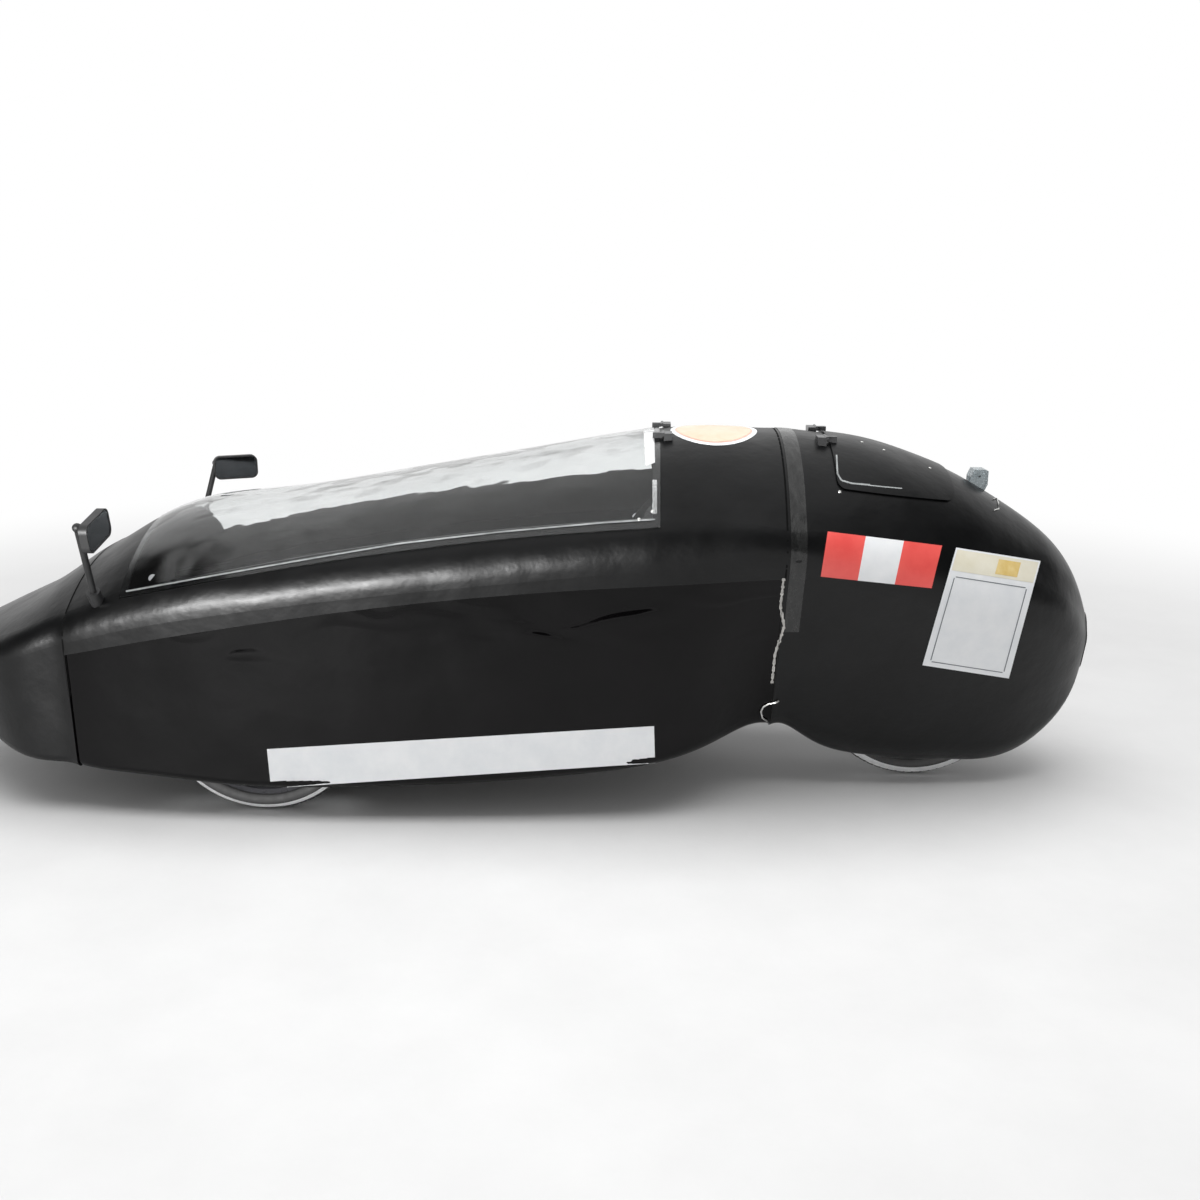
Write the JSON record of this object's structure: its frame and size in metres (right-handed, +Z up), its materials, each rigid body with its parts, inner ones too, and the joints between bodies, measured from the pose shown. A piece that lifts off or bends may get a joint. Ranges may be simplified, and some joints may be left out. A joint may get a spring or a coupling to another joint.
{
  "type": "velomobile, a three-wheeled pedal car with a closed streamlined shell",
  "caption": "Closed streamlined pedal tricycle with a black shell, clear rear-hinged canopy, steered front wheels and a tail hatch.",
  "frame": {"origin": "on the floor under the middle of the vehicle's box", "axes": "+X towards the tail, +Y to the rider's right, +Z up"},
  "size_m": [2.93, 0.9786, 0.892],
  "materials": {
    "satin_skin": "satin",
    "gloss_skin": "gloss",
    "clear_sheet": "clear",
    "frame_paint": "satin",
    "steel": "brushed",
    "alloy": "satin",
    "chain_steel": "oiled",
    "black_plastic": "matte",
    "mirror_glass": "polished",
    "grip_rubber": "matte",
    "tyre_rubber": "matte",
    "rim_alloy": "anodised",
    "seat_plastic": "satin",
    "seat_foam": "woven",
    "grey_plastic": "satin"
  },
  "bodies": {
    "vehicle": {"nose_shell": "satin_skin", "upper_shell": "satin_skin", "lower_shell": "gloss_skin", "tail_shell": "satin_skin", "main_tube": "frame_paint", "front_beam": "frame_paint", "roll_hoop": "frame_paint", "rear_stays": "frame_paint", "rear_axle": "steel", "shell_mounts": "frame_paint", "seat_shell": "seat_plastic", "seat_pad": "seat_foam", "seat_mounts": "frame_paint", "chain": "chain_steel", "idlers": "black_plastic", "idler_bracket": "frame_paint", "mirror_left": "black_plastic", "mirror_right": "black_plastic", "mirror_glass_left": "mirror_glass", "mirror_glass_right": "mirror_glass", "canopy_hinge_base": "frame_paint", "hatch_hinge_base": "frame_paint", "tail_bracket": "grey_plastic"},
    "canopy": {"canopy_sheet": "clear_sheet", "canopy_latches": "steel", "canopy_hinge_leaf": "frame_paint"},
    "hatch": {"hatch_lid": "satin_skin", "hatch_hinge_leaf": "frame_paint"},
    "bar": {"handlebar": "alloy", "bar_grips": "grip_rubber"},
    "left_knuckle": {"knuckle_left": "steel"},
    "right_knuckle": {"knuckle_right": "steel"},
    "track_rod": {"tie_rod": "alloy"},
    "steering_link": {"drag_link": "alloy"},
    "cranks": {"crankset": "alloy", "pedals": "black_plastic", "chainring": "chain_steel"},
    "front_left_wheel": {"tyre_front_left": "tyre_rubber", "rim_front_left": "rim_alloy", "front_hub_left": "alloy"},
    "front_right_wheel": {"tyre_front_right": "tyre_rubber", "rim_front_right": "rim_alloy", "front_hub_right": "alloy"},
    "rear_wheel": {"tyre_rear": "tyre_rubber", "rim_rear": "rim_alloy", "rear_hub": "alloy", "rear_sprocket": "chain_steel"}
  },
  "joints": [
    {"name": "front_left_wheel_spin", "type": "hinge", "parent": "left_knuckle", "child": "front_left_wheel", "pos_m": [-0.545, -0.283, 0.25], "axis": [0, -1, 0], "continuous": true},
    {"name": "front_right_wheel_spin", "type": "hinge", "parent": "right_knuckle", "child": "front_right_wheel", "pos_m": [-0.545, 0.283, 0.25], "axis": [0, -1, 0], "continuous": true},
    {"name": "rear_wheel_spin", "type": "hinge", "parent": "vehicle", "child": "rear_wheel", "pos_m": [1.051, 0, 0.25], "axis": [0, -1, 0], "continuous": true},
    {"name": "bar_turn", "type": "hinge", "parent": "vehicle", "child": "bar", "pos_m": [-0.245, 0, 0.238], "axis": [0, 0, 1], "range_deg": [-10, 10]},
    {"name": "left_kingpin", "type": "hinge", "parent": "vehicle", "child": "left_knuckle", "pos_m": [-0.545, -0.215, 0.25], "axis": [0, 0, 1], "range_deg": [-10, 10]},
    {"name": "right_kingpin", "type": "hinge", "parent": "vehicle", "child": "right_knuckle", "pos_m": [-0.545, 0.215, 0.25], "axis": [0, 0, 1], "range_deg": [-10, 10]},
    {"name": "track_rod_eye", "type": "hinge", "parent": "left_knuckle", "child": "track_rod", "pos_m": [-0.455, -0.215, 0.1835], "axis": [0, 0, 1], "range_deg": [-10, 10]},
    {"name": "steering_link_eye", "type": "hinge", "parent": "bar", "child": "steering_link", "pos_m": [-0.155, 0, 0.2085], "axis": [0, 0, 1], "range_deg": [-10, 10]},
    {"name": "crank_turn", "type": "hinge", "parent": "vehicle", "child": "cranks", "pos_m": [-0.945, 0, 0.345], "axis": [0, -1, 0], "continuous": true},
    {"name": "canopy_lift", "type": "hinge", "parent": "vehicle", "child": "canopy", "pos_m": [0.399, 0, 0.888], "axis": [0, 1, 0], "range_deg": [0, 65]},
    {"name": "hatch_lift", "type": "hinge", "parent": "vehicle", "child": "hatch", "pos_m": [0.781, 0, 0.882], "axis": [0, -1, 0], "range_deg": [0, 65]}
  ],
  "couplings": [
    {"joint": "left_kingpin", "follows": "bar_turn", "ratio": 1},
    {"joint": "right_kingpin", "follows": "bar_turn", "ratio": 1},
    {"joint": "track_rod_eye", "follows": "bar_turn", "ratio": -1},
    {"joint": "steering_link_eye", "follows": "bar_turn", "ratio": -1}
  ]
}
